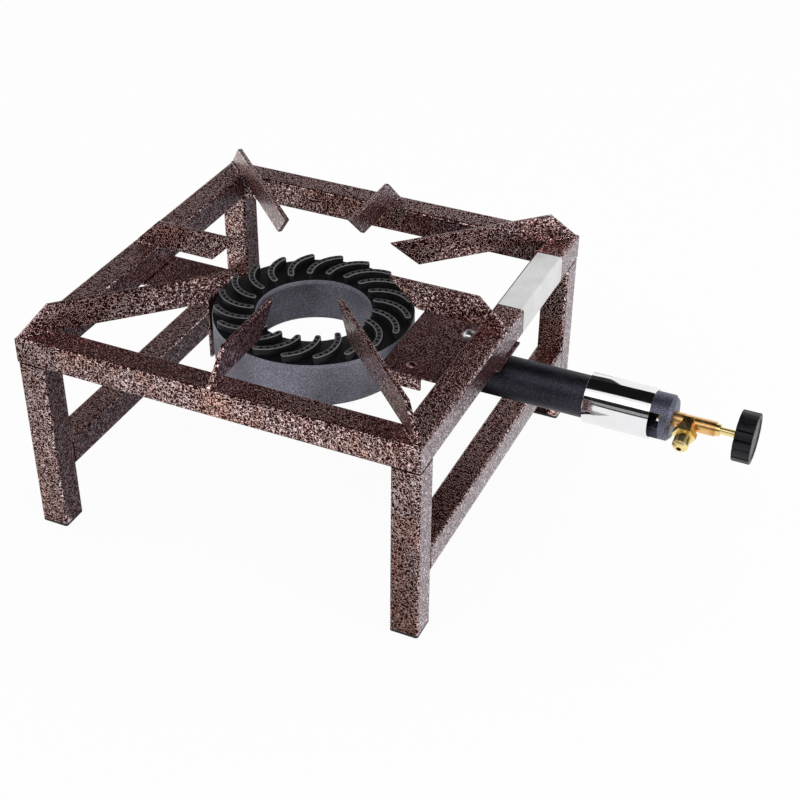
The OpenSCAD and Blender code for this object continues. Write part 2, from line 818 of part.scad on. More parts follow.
// Packing ring round the spindle
module packing_ring() {
    color("#e8e4da") set_down() along_tube() translate([0, 0, gland_start])
        ring_bar(gland_bore_d - 2 * gland_fit, spindle_d + 2 * spindle_fit, packing_len);
}

// Gland nut that presses the packing
module gland_nut() {
    color(brass) set_down() along_tube() difference() {
        union() {
            translate([0, 0, gland_start + packing_len])
                cylinder(d = gland_bore_d - 2 * gland_fit, h = gland_depth - packing_len + past);
            translate([0, 0, valve_end]) cylinder(d = gland_d, h = gland_t);
        }
        translate([0, 0, gland_start])
            cylinder(d = spindle_d + 2 * spindle_fit, h = gland_depth + gland_t + past);
    }
}

// Needle with its conical point in the passage
module valve_needle() {
    color(plating) set_down() along_tube() rotate_extrude() polygon([
        [0, seat_x - needle_cone],
        [needle_point_r, seat_x - needle_cone],
        [needle_d / 2, needle_shoulder],
        [needle_d / 2, spindle_front + needle_hold],
        [0, spindle_front + needle_hold]
    ]);
}

// Spindle between needle and knob, with a flat in the knob
module spindle() {
    color(brass) set_down() along_tube() difference() {
        translate([0, 0, spindle_front]) cylinder(d = spindle_d, h = spindle_back - spindle_front);
        translate([0, 0, spindle_front - past])
            cylinder(d = needle_d + 2 * spindle_fit, h = needle_hold + spindle_fit + past);
        translate([flat_off, -spindle_d, knob_back]) cube([spindle_d, 2 * spindle_d, spindle_hold + past]);
    }
}

// Fluted knob, hollow from behind round its hub
module knob() {
    rim_r = knob_d / 2;
    color(plastic) set_down() along_tube() translate([0, 0, knob_back]) difference() {
        rotate_extrude() polygon([
            [0, 0],
            [rim_r, 0],
            [rim_r, knob_t - knob_chamfer],
            [rim_r - knob_chamfer, knob_t],
            [rim_r - knob_wall, knob_t],
            [rim_r - knob_wall - dish_h, knob_t - dish_h],
            [0, knob_t - dish_h]
        ]);
        translate([0, 0, -past]) ring_bar(2 * (rim_r - knob_wall), hub_d, knob_t - knob_wall - dish_h + past);
        difference() {
            translate([0, 0, -past])
                cylinder(d = spindle_d + 2 * spindle_fit, h = spindle_hold + spindle_fit + past);
            translate([flat_off + spindle_fit, -spindle_d, -2 * past])
                cube([spindle_d, 2 * spindle_d, knob_t + past]);
        }
        for (groove = [0 : groove_count - 1])
            rotate(groove * 360 / groove_count) translate([rim_r + groove_d / 2 - groove_h, 0, -past])
                cylinder(d = groove_d, h = knob_t + 2 * past);
    }
}

// Thin blank label over the top and outer face of the right rail
module blank_label() {
    lift = tube_w + 2 * skin_gap;
    color("#f1f1ee") set_down() translate([rail_mid, label_start, rail_under + tube_w / 2]) rotate([90, 0, 0])
        mirror([0, 0, 1]) linear_extrude(label_len) intersection() {
            difference() {
                round_square(lift + 2 * label_t, tube_round + skin_gap + label_t);
                round_square(lift, tube_round + skin_gap);
            }
            translate([label_margin - tube_w / 2, label_margin - tube_w / 2]) square(2 * tube_w);
        }
}

rail(0);  // front_rail
rail(90);  // right_rail
rail(180);  // back_rail
rail(270);  // left_rail
leg(-1, -1);  // front_left_leg
leg(1, -1);  // front_right_leg
leg(1, 1);  // back_right_leg
leg(-1, 1);  // back_left_leg
stretcher(-1);  // left_stretcher
stretcher(1);  // right_stretcher
foot_plug(-1, -1);  // front_left_plug
foot_plug(1, -1);  // front_right_plug
foot_plug(1, 1);  // back_right_plug
foot_plug(-1, 1);  // back_left_plug
corner_support(0);  // front_left_support
corner_support(90);  // front_right_support
corner_support(180);  // back_right_support
corner_support(270);  // back_left_support
side_support(0);  // front_support
side_support(90);  // right_support
side_support(180);  // back_support
side_support(270);  // left_support
left_bracket();
right_plate();
clip(-1);  // front_clip
clip(1);  // back_clip
clip_rivets();
burner_casting();
burner_head();
burner_screw();
screw_washer();
air_sleeve();
gas_jet();
valve_body();
inlet_seal();
inlet_nipple();
packing_ring();
gland_nut();
valve_needle();
spindle();
knob();
blank_label();
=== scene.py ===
"""Dresses the gas stool burner: hammered paint, cast iron, plating, brass and black plastic."""
import logging
import math
from dataclasses import dataclass
from enum import Enum
from typing import Callable, Sequence

import bmesh
import bpy
from bpy.types import Material, NodeSocket, Object
from mathutils import Euler, Matrix, Vector


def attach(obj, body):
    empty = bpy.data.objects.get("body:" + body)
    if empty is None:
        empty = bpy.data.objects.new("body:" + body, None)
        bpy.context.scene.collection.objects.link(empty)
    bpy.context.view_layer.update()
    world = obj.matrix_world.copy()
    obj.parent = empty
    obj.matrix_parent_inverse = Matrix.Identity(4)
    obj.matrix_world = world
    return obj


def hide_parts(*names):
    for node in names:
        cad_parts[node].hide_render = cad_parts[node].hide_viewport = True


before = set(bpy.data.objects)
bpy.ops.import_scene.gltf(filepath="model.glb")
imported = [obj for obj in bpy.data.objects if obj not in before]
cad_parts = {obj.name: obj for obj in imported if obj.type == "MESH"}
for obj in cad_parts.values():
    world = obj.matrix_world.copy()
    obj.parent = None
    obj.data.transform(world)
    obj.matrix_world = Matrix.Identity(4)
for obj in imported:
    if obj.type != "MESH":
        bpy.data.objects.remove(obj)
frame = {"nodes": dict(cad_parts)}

log = logging.getLogger("gas_stool_burner")

Colour = tuple[float, float, float]
Point = tuple[float, float, float]
MM = 0.001
TINY = 1e-6
BLACK: Colour = (0.0, 0.0, 0.0)
WHITE: Colour = (1.0, 1.0, 1.0)
ALONG_X: Point = (0.0, math.pi / 2, 0.0)
FLAT: Point = (0.0, 0.0, 0.0)
UPRIGHT: Point = (90.0, 0.0, 0.0)
SIDEWAYS: Point = (0.0, 90.0, 0.0)
RING_X = -105.5 * MM
TUBE_Z = 144.4 * MM


def scaled(colour: Colour, factor: float) -> Colour:
    """Makes a colour darker or paler by a factor."""
    return tuple(factor * part for part in colour)


class Element(Enum):
    """What a selection in edit mode is made of."""

    VERTEX = "VERT"
    EDGE = "EDGE"
    FACE = "FACE"


class Slot(Enum):
    """Material slots of the part's record."""

    PAINT = "stand_paint"
    IRON = "burner_iron"
    PLATING = "sleeve_plating"
    KNOB = "knob_plastic"


class Bench:
    """The modelling bench: primitives, selections by place, and pieces finished at the origin."""

    @staticmethod
    def clear() -> None:
        """Leaves edit mode and deselects everything."""
        if bpy.context.mode != "OBJECT":
            bpy.ops.object.mode_set(mode="OBJECT")
        bpy.ops.object.select_all(action="DESELECT")

    @staticmethod
    def named(name: str) -> Object:
        """Names the object that was just added and returns it."""
        piece = bpy.context.object
        piece.name = name
        piece.data.name = name
        return piece

    @staticmethod
    def block(name: str, size: Sequence[float], centre: Sequence[float]) -> Object:
        """Adds a cube at its size and place.

        Args:
            name: Name of the new piece.
            size: Edge lengths along X, Y and Z.
            centre: Middle of the block.

        Returns:
            The new piece, out of edit mode.
        """
        Bench.clear()
        bpy.ops.mesh.primitive_cube_add(size=1.0, location=centre, scale=size)
        piece = Bench.named(name)
        Bench.settle()
        return piece

    @staticmethod
    def outline(name: str, points: Sequence[Point]) -> Object:
        """Draws a closed line through points by extruding a single vertex from one to the next.

        Args:
            name: Name of the new piece.
            points: Corners of the line in order.

        Returns:
            The new piece, in edit mode with everything selected.
        """
        Bench.clear()
        bpy.ops.mesh.primitive_plane_add(size=2 * MM, location=(0, 0, 0))
        piece = Bench.named(name)
        bpy.ops.object.mode_set(mode="EDIT")
        bpy.ops.mesh.select_mode(type=Element.VERTEX.value)
        bpy.ops.mesh.select_all(action="SELECT")
        bpy.ops.mesh.merge(type="CENTER")
        bpy.ops.transform.translate(value=points[0])
        for start, end in zip(points, points[1:]):
            step = tuple(b - a for a, b in zip(start, end))
            bpy.ops.mesh.extrude_region_move(TRANSFORM_OT_translate={"value": step})
        tips = (Vector(points[0]), Vector(points[-1]))
        Bench.pick(piece, Element.VERTEX, lambda place, _: any((place - tip).length < TINY for tip in tips))
        bpy.ops.mesh.edge_face_add()
        bpy.ops.mesh.select_all(action="SELECT")
        return piece

    @staticmethod
    def pick(piece: Object, kind: Element, test: Callable[[Vector, Vector], bool]) -> None:
        """Selects the elements of a piece in edit mode by their place and direction.

        Args:
            piece: The piece that is being edited.
            kind: Whether vertices, edges or faces are meant.
            test: Takes an element's middle, and its normal or an edge's direction, and says whether it is
                selected.
        """
        bpy.ops.mesh.select_mode(type=kind.value)
        bpy.ops.mesh.select_all(action="DESELECT")
        shape = bmesh.from_edit_mesh(piece.data)
        shape.normal_update()
        if kind is Element.FACE:
            for face in shape.faces:
                face.select_set(test(face.calc_center_median(), face.normal))
        elif kind is Element.EDGE:
            for edge in shape.edges:
                start, end = (vertex.co for vertex in edge.verts)
                edge.select_set(test((start + end) / 2, (end - start).normalized()))
        else:
            for vertex in shape.verts:
                vertex.select_set(test(vertex.co, vertex.normal))
        shape.select_flush_mode()
        bmesh.update_edit_mesh(piece.data)

    @staticmethod
    def turn(centre: Point, axis: Point, steps: int) -> None:
        """Spins the selected outline once round an axis and closes the seam.

        Args:
            centre: A point of the axis.
            axis: Direction of the axis.
            steps: Number of steps round the axis.
        """
        bpy.ops.mesh.spin(steps=steps, angle=2 * math.pi, center=centre, axis=axis)
        bpy.ops.mesh.select_all(action="SELECT")
        bpy.ops.mesh.remove_doubles(threshold=TINY)
        bpy.ops.mesh.normals_make_consistent(inside=False)

    @staticmethod
    def hold(piece: Object) -> None:
        """Makes a piece the only one that is selected and active."""
        Bench.clear()
        piece.select_set(True)
        bpy.context.view_layer.objects.active = piece

    @staticmethod
    def settle() -> None:
        """Moves the place, turn and scale of what is selected into its mesh."""
        bpy.ops.object.transform_apply(location=True, rotation=True, scale=True)

    @staticmethod
    def apply(piece: Object, kind: str, **settings: object) -> None:
        """Adds a modifier with these settings to a piece and applies it."""
        Bench.hold(piece)
        modifier = piece.modifiers.new(kind.lower(), kind)
        for key, value in settings.items():
            setattr(modifier, key, value)
        bpy.ops.object.modifier_apply(modifier=modifier.name)

    @staticmethod
    def cut(piece: Object, cutter: Object) -> None:
        """Cuts a piece with a cutter, which is then thrown away."""
        Bench.apply(piece, "BOOLEAN", object=cutter, operation="DIFFERENCE", solver="EXACT")
        Bench.clear()
        cutter.select_set(True)
        bpy.ops.object.delete()

    @staticmethod
    def place(piece: Object, turn: Matrix, shift: Sequence[float]) -> None:
        """Turns and moves a piece and settles both into its mesh."""
        Bench.hold(piece)
        piece.matrix_world = Matrix.Translation(shift) @ turn.to_4x4()
        Bench.settle()

    @staticmethod
    def copy(piece: Object, name: str) -> Object:
        """Copies a piece with its own mesh and returns the copy."""
        Bench.hold(piece)
        bpy.ops.object.duplicate(linked=False)
        return Bench.named(name)

    @staticmethod
    def join(name: str, pieces: Sequence[Object]) -> Object:
        """Joins pieces into one of the given name and returns it."""
        Bench.clear()
        for piece in pieces:
            piece.select_set(True)
        bpy.context.view_layer.objects.active = pieces[0]
        bpy.ops.object.join()
        return Bench.named(name)

    @staticmethod
    def finish(piece: Object, finish: "Finish", slot: Slot, body: str, nodes: Sequence[str] = (),
               smooth: float = 35.0) -> None:
        """Shades and paints a piece and ties it to its body.

        Args:
            piece: The modelled piece.
            finish: What it is painted with.
            slot: Slot of the record; not used.
            body: Body that it moves with.
            nodes: Nodes of the frame that it stands for.
            smooth: Angle in degrees up to which edges are shaded smooth.
        """
        Bench.hold(piece)
        bpy.ops.object.shade_smooth_by_angle(angle=math.radians(smooth))
        piece.data.materials.clear()
        piece.data.materials.append(finish.material())
        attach(piece, body)
        if nodes:
            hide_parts(*nodes)
        log.info("%s: %d faces on %s", piece.name, len(piece.data.polygons), body)


class Recipe:
    """Node tree of one finish, with short calls for the nodes that the finishes share."""

    def __init__(self, name: str) -> None:
        """Starts a material with one principled shader."""
        self.made = bpy.data.materials.new(name)
        self.made.use_nodes = True
        self.tree = self.made.node_tree
        self.tree.nodes.clear()
        output = self.add("ShaderNodeOutputMaterial")
        self.shader = self.add("ShaderNodeBsdfPrincipled")
        self.join(self.shader.outputs["BSDF"], output.inputs["Surface"])
        self.where = self.add("ShaderNodeTexCoord").outputs["Object"]

    def add(self, kind: str, **settings: object) -> bpy.types.Node:
        """Adds a node of a kind with these settings."""
        node = self.tree.nodes.new(kind)
        for key, value in settings.items():
            setattr(node, key, value)
        return node

    def join(self, source: NodeSocket, target: NodeSocket) -> None:
        """Links two sockets."""
        self.tree.links.new(source, target)

    def set(self, **values: object) -> None:
        """Sets sockets of the shader; an underscore stands for a space."""
        for key, value in values.items():
            socket = self.shader.inputs[key.replace("_", " ")]
            socket.default_value = (*value, 1.0) if isinstance(value, tuple) else value

    def feed(self, socket: str, source: NodeSocket) -> None:
        """Links a source to a socket of the shader."""
        self.join(source, self.shader.inputs[socket])

    def noise(self, scale: float, detail: float = 2.0, rough: float = 0.5, stretch: Point | None = None,
              twist: float = 0.0) -> NodeSocket:
        """Adds noise over the piece.

        Args:
            scale: Patches per metre.
            detail: Number of finer layers.
            rough: Strength of the finer layers.
            stretch: Factors along X, Y and Z, where the pattern isn't even.
            twist: How far the noise warps itself.

        Returns:
            The noise from 0 to 1.
        """
        node = self.add("ShaderNodeTexNoise")
        node.inputs["Scale"].default_value = scale
        node.inputs["Detail"].default_value = detail
        node.inputs["Roughness"].default_value = rough
        node.inputs["Distortion"].default_value = twist
        source = self.where
        if stretch:
            mapping = self.add("ShaderNodeMapping")
            mapping.inputs["Scale"].default_value = stretch
            self.join(source, mapping.inputs["Vector"])
            source = mapping.outputs["Vector"]
        self.join(source, node.inputs["Vector"])
        return node.outputs["Fac"]

    def span(self, source: NodeSocket, low: float, high: float, to_low: float = 0.0,
             to_high: float = 1.0) -> NodeSocket:
        """Maps a range of values smoothly to another range."""
        node = self.add("ShaderNodeMapRange", interpolation_type="SMOOTHSTEP")
        node.inputs["From Min"].default_value = low
        node.inputs["From Max"].default_value = high
        node.inputs["To Min"].default_value = to_low
        node.inputs["To Max"].default_value = to_high
        self.join(source, node.inputs["Value"])
        return node.outputs["Result"]

    def sum(self, first: NodeSocket, second: NodeSocket, weight: float) -> NodeSocket:
        """Adds a weighted second value to the first."""
        node = self.add("ShaderNodeMath", operation="MULTIPLY_ADD")
        self.join(second, node.inputs[0])
        node.inputs[1].default_value = weight
        self.join(first, node.inputs[2])
        return node.outputs["Value"]

    def tones(self, source: NodeSocket, stops: Sequence[tuple[float, Colour]]) -> NodeSocket:
        """Turns a value into colours between stops.

        Args:
            source: The value from 0 to 1.
            stops: Positions with their colours, in order.

        Returns:
            The colour.
        """
        ramp = self.add("ShaderNodeValToRGB")
        points = ramp.color_ramp.elements
        points[0].position, points[0].color = stops[0][0], (*stops[0][1], 1.0)
        points[1].position, points[1].color = stops[-1][0], (*stops[-1][1], 1.0)
        for place, colour in stops[1:-1]:
            points.new(place).color = (*colour, 1.0)
        self.join(source, ramp.inputs["Fac"])
        return ramp.outputs["Color"]

    def speckle(self, level: NodeSocket, tone: Colour) -> NodeSocket:
        """Spreads a tone from dark pits to pale grains."""
        return self.tones(level, ((0.15, scaled(tone, 0.55)), (0.5, tone), (0.9, scaled(tone, 2.0))))

    def blend(self, share: NodeSocket, first: NodeSocket | Colour, second: NodeSocket | Colour) -> NodeSocket:
        """Blends two colours by a share that varies over the surface."""
        node = self.add("ShaderNodeMix", data_type="RGBA")
        self.join(share, node.inputs[0])
        for socket, colour in ((node.inputs[6], first), (node.inputs[7], second)):
            if isinstance(colour, tuple):
                socket.default_value = (*colour, 1.0)
            else:
                self.join(colour, socket)
        return node.outputs[2]

    def relief(self, height: NodeSocket, depth: float, strength: float = 1.0,
               under: NodeSocket | None = None) -> NodeSocket:
        """Adds bump from a height of 0 to 1, over a depth in metres, on top of an earlier bump."""
        node = self.add("ShaderNodeBump")
        node.inputs["Strength"].default_value = strength
        node.inputs["Distance"].default_value = depth
        self.join(height, node.inputs["Height"])
        if under:
            self.join(under, node.inputs["Normal"])
        return node.outputs["Normal"]

    def part(self, vector: NodeSocket, letter: str) -> NodeSocket:
        """The X, Y or Z part of a vector."""
        split = self.add("ShaderNodeSeparateXYZ")
        self.join(vector, split.inputs["Vector"])
        return split.outputs[letter]

    def facing(self, letter: str) -> NodeSocket:
        """How far the surface faces along X, Y or Z."""
        return self.part(self.add("ShaderNodeNewGeometry").outputs["Normal"], letter)

    def axis(self, letter: str) -> NodeSocket:
        """The X, Y or Z place on the piece, in metres."""
        return self.part(self.where, letter)


class Finish:
    """A surface finish, whose material is made once."""

    stock: dict[str, Material] = {}

    def material(self) -> Material:
        """The finish's material, made on the first call."""
        key = repr(self)
        if key not in Finish.stock:
            Finish.stock[key] = self.mix()
        return Finish.stock[key]

    def mix(self) -> Material:
        """Makes the material."""
        raise NotImplementedError


@dataclass(frozen=True)
class HammeredPaint(Finish):
    """Hammered copper paint: thin pale ridges that wind between dark glossy dimples.

    It is warmer in patches, and painted shade makes it darker where it faces up and darker and cooler where
    it faces right.
    """

    name: str = "hammered_copper_paint"
    ground: Colour = (0.018, 0.004, 0.005)
    brown: Colour = (0.110, 0.032, 0.031)
    copper: Colour = (0.41, 0.205, 0.185)
    flake: Colour = (1.0, 0.90, 0.89)
    top_shade: Colour = (0.90, 0.78, 0.80)
    right_side_shade: Colour = (0.80, 0.83, 0.98)
    warmth: Colour = (1.0, 0.77, 0.68)
    under: Colour = (1.0, 0.30, 0.24)
    cell: float = 388.0
    half_ridge: float = 0.080
    patch: float = 30.0
    patch_share: float = 0.16
    depth: float = 0.09 * MM

    def mix(self) -> Material:
        """Makes the material."""
        paint = Recipe(self.name)
        worms = paint.noise(self.cell, 0.9, 0.5, twist=0.6)
        low, high = 0.5 - self.half_ridge, 0.5 + self.half_ridge
        raised = paint.tones(worms, ((low, BLACK), (0.5, WHITE), (high, BLACK)))
        patches = paint.noise(self.patch, 2.0)
        level = paint.sum(raised, patches, self.patch_share)
        stops = ((0.16, self.ground), (0.40, self.brown), (0.62, self.copper), (0.92, self.flake))
        colour = paint.blend(paint.span(patches, 0.40, 0.70), paint.tones(level, stops),
                             paint.tones(level, self.tinted(stops, self.warmth)))
        # painted shade: faces turned up or to the right take darker tints of the same stops
        for letter, tint in (("Z", self.top_shade), ("X", self.right_side_shade)):
            share = paint.span(paint.facing(letter), 0.6, 0.95)
            colour = paint.blend(share, colour, paint.tones(level, self.tinted(stops, tint)))
        paint.feed("Base Color", colour)
        paint.feed("Roughness", paint.span(patches, 0.3, 0.7, 0.13, 0.20))
        paint.feed("Normal", paint.relief(raised, self.depth))
        paint.set(Metallic=1.0, Coat_Weight=0.1, Coat_Roughness=0.10, Sheen_Weight=0.05, Sheen_Roughness=0.9,
                  Sheen_Tint=self.under)
        return paint.made

    @staticmethod
    def tinted(stops: Sequence[tuple[float, Colour]], tint: Colour) -> tuple[tuple[float, Colour], ...]:
        """Gives the same stops with each colour multiplied by a tint."""
        return tuple((place, tuple(part * share for part, share in zip(colour, tint)))
                     for place, colour in stops)


@dataclass(frozen=True)
class CastIron(Finish):
    """Sand-cast iron with sparkling grain: satin ring, black stove paint on the tube, blue-grey end."""

    name: str = "cast_iron"
    ring: Colour = (0.24, 0.236, 0.286)
    tube: Colour = (0.047, 0.046, 0.062)
    end: Colour = (0.145, 0.152, 0.200)
    tube_from: float = -20 * MM
    tube_full: float = 4 * MM
    end_from: float = 196 * MM
    end_full: float = 201 * MM
    grain: float = 1300.0
    skin: float = 260.0
    stain: float = 34.0

    def mix(self) -> Material:
        """Makes the material."""
        iron = Recipe(self.name)
        grain = iron.noise(self.grain, 3.0, 0.75)
        skin = iron.noise(self.skin, 3.0, 0.55)
        stain = iron.noise(self.stain, 3.0)
        level = iron.span(iron.sum(grain, stain, 0.2), 0.44, 0.80)
        place = iron.axis("X")
        on_tube = iron.span(place, self.tube_from, self.tube_full)
        on_end = iron.span(place, self.end_from, self.end_full)
        tone = iron.blend(on_tube, iron.speckle(level, self.ring), iron.speckle(level, self.tube))
        iron.feed("Base Color", iron.blend(on_end, tone, iron.speckle(level, self.end)))
        iron.feed("Roughness", iron.span(stain, 0.3, 0.7, 0.40, 0.50))
        iron.feed("Normal", iron.relief(grain, 0.22 * MM, 0.8, iron.relief(skin, 0.20 * MM, 0.5)))
        iron.set(Metallic=1.0, Specular_IOR_Level=0.25)
        return iron.made


@dataclass(frozen=True)
class BlackRibs(Finish):
    """Black stove paint on the ribbed head, rubbed grey on the crests; the pale edges are rubbed paint and a
    painted highlight, and the rib sides are lightened as painted light.
    """

    name: str = "rubbed_and_highlighted_black_iron"
    black: Colour = (0.009, 0.009, 0.011)
    # this grey also paints the pale edges as a painted highlight and the rib sides as painted light
    rubbed: Colour = (0.36, 0.36, 0.38)
    side: Colour = (0.19, 0.188, 0.228)
    grain: float = 1300.0

    def mix(self) -> Material:
        """Makes the material."""
        head = Recipe(self.name)
        grain = head.noise(self.grain, 3.0, 0.6)
        # the mark holds rubbed crests, edges that are rubbed paint and a painted highlight, and rib sides
        # lightened as painted light
        wear_and_highlight = head.add("ShaderNodeAttribute", attribute_name="wear_and_highlight").outputs["Fac"]
        bare = head.add("ShaderNodeAttribute", attribute_name="bare").outputs["Fac"]
        rubbed = head.span(head.sum(wear_and_highlight, grain, 0.5), 0.40, 1.25)
        head.feed("Base Color", head.blend(bare, head.blend(rubbed, self.black, self.rubbed),
                                           head.speckle(head.span(grain, 0.25, 0.7), self.side)))
        head.feed("Roughness", head.span(grain, 0.3, 0.7, 0.38, 0.55))
        head.feed("Normal", head.relief(grain, 0.12 * MM, 0.5))
        head.set(Metallic=0.4, Specular_IOR_Level=0.25)
        return head.made


@dataclass(frozen=True)
class BrightMetal(Finish):
    """Plated, turned or drawn metal with fine marks and faint stains."""

    name: str
    tone: Colour
    stain: Colour
    rough: float = 0.12
    marks: float = 900.0
    depth: float = 0.02 * MM
    stretch: Point | None = None
    cloud: float = 90.0

    def mix(self) -> Material:
        """Makes the material."""
        metal = Recipe(self.name)
        lines = metal.noise(self.marks, 2.0, 0.6, self.stretch)
        cloud = metal.noise(self.cloud, 3.0)
        metal.feed("Base Color", metal.tones(metal.sum(cloud, lines, 0.2), (
            (0.35, self.stain), (0.65, self.tone), (0.9, self.tone))))
        metal.feed("Roughness", metal.span(cloud, 0.3, 0.75, self.rough, self.rough * 1.9))
        metal.feed("Normal", metal.relief(lines, self.depth, 0.4))
        metal.set(Metallic=1.0)
        return metal.made


@dataclass(frozen=True)
class MouldedPlastic(Finish):
    """Moulded plastic with a fine matt skin and rubbed patches."""

    name: str
    tone: Colour
    rough: float = 0.42
    skin: float = 2600.0
    rub: float = 140.0

    def mix(self) -> Material:
        """Makes the material."""
        plastic = Recipe(self.name)
        skin = plastic.noise(self.skin, 2.0)
        rub = plastic.noise(self.rub, 4.0)
        stops = ((0.35, scaled(self.tone, 0.8)), (0.75, scaled(self.tone, 1.35)))
        plastic.feed("Base Color", plastic.tones(rub, stops))
        plastic.feed("Roughness", plastic.span(rub, 0.3, 0.7, self.rough, self.rough + 0.16))
        plastic.feed("Normal", plastic.relief(skin, 0.05 * MM, 0.4))
        plastic.set(Specular_IOR_Level=0.3)
        return plastic.made


@dataclass(frozen=True)
class LabelFilm(Finish):
    """White film with faint wrinkles and soiled patches."""

    name: str = "blank_white_film"
    white: Colour = (0.76, 0.76, 0.765)
    soiled: Colour = (0.64, 0.63, 0.62)
    cloud: float = 45.0
    wrinkle: float = 110.0

    def mix(self) -> Material:
        """Makes the material."""
        film = Recipe(self.name)
        cloud = film.noise(self.cloud, 4.0)
        wrinkle = film.noise(self.wrinkle, 1.0, 0.5, (1.0, 0.35, 1.0))
        film.feed("Base Color", film.tones(cloud, ((0.30, self.soiled), (0.55, self.white))))
        film.feed("Roughness", film.span(cloud, 0.3, 0.7, 0.30, 0.45))
        film.feed("Normal", film.relief(wrinkle, 0.12 * MM, 0.5))
        return film.made


PAINT = HammeredPaint()
# the plate's paint is a darker copy of the frame's paint: painted shade
SHADED_PLATE_PAINT = HammeredPaint("shaded_plate_paint", brown=(0.055, 0.020, 0.022), copper=(0.15, 0.080, 0.086),
                            flake=(0.44, 0.36, 0.39))
POOLED_PAINT = BrightMetal("pooled_paint", (0.30, 0.165, 0.160), (0.085, 0.032, 0.032), 0.18, 500.0,
                           0.03 * MM)
CASTING = CastIron()
HEAD = BlackRibs()
PLATING = BrightMetal("bright_plating", (0.86, 0.86, 0.875), (0.82, 0.81, 0.82), 0.05, 1600.0, 0.012 * MM,
                      (0.04, 1.0, 1.0))
ZINC = BrightMetal("bright_zinc", (0.82, 0.82, 0.84), (0.60, 0.60, 0.63), 0.20)
BRASS = BrightMetal("turned_brass", (0.98, 0.80, 0.38), (0.80, 0.52, 0.18), 0.22, 2600.0, 0.012 * MM,
                    (3.0, 0.6, 0.6))
PRESSED_BRASS = BrightMetal("pressed_brass", (0.93, 0.58, 0.25), (0.62, 0.33, 0.11), 0.26, 1200.0, 0.02 * MM)
DULL_BRASS = BrightMetal("dull_brass", (0.42, 0.28, 0.12), (0.20, 0.12, 0.05), 0.40)
COPPER = BrightMetal("copper_seal", (0.80, 0.42, 0.26), (0.45, 0.18, 0.09), 0.25)
STEEL = BrightMetal("needle_steel", (0.62, 0.62, 0.64), (0.42, 0.42, 0.44), 0.2)
PLUG = MouldedPlastic("plug_plastic", (0.016, 0.016, 0.018), 0.5)
KNOB = MouldedPlastic("knob_plastic", (0.004, 0.004, 0.007), 0.30)
PACKING = MouldedPlastic("packing_white", (0.72, 0.70, 0.66), 0.45)
FILM = LabelFilm()

DRESS: dict[str, Finish] = {
    "rail": PAINT,
    "leg": PAINT,
    "stretcher": PAINT,
    "support": PAINT,
    "left_bracket": PAINT,
    "right_plate": SHADED_PLATE_PAINT,
    "clip": PAINT,
    "clip_rivets": POOLED_PAINT,
    "plug": PLUG,
    "burner_casting": CASTING,
    "burner_head": HEAD,
    "burner_screw": ZINC,
    "screw_washer": ZINC,
    "air_sleeve": PLATING,
    "gas_jet": DULL_BRASS,
    "valve_body": PRESSED_BRASS,
    "inlet_seal": COPPER,
    "inlet_nipple": BRASS,
    "packing_ring": PACKING,
    "gland_nut": BRASS,
    "valve_needle": STEEL,
    "spindle": BRASS,
    "knob": KNOB,
    "blank_label": FILM,
}


def dress_nodes(nodes: dict[str, Object]) -> None:
    """Paints every node of the frame with the finish that its whole name or its last word calls for.

    Args:
        nodes: The frame's nodes by name.
    """
    for name, node in nodes.items():
        finish = DRESS.get(name) or DRESS[name.rsplit("_", 1)[-1]]
        for slot in node.material_slots:
            slot.material = finish.material()
        if not node.material_slots:
            node.data.materials.append(finish.material())
        log.info("%s: %s", name, finish.material().name)


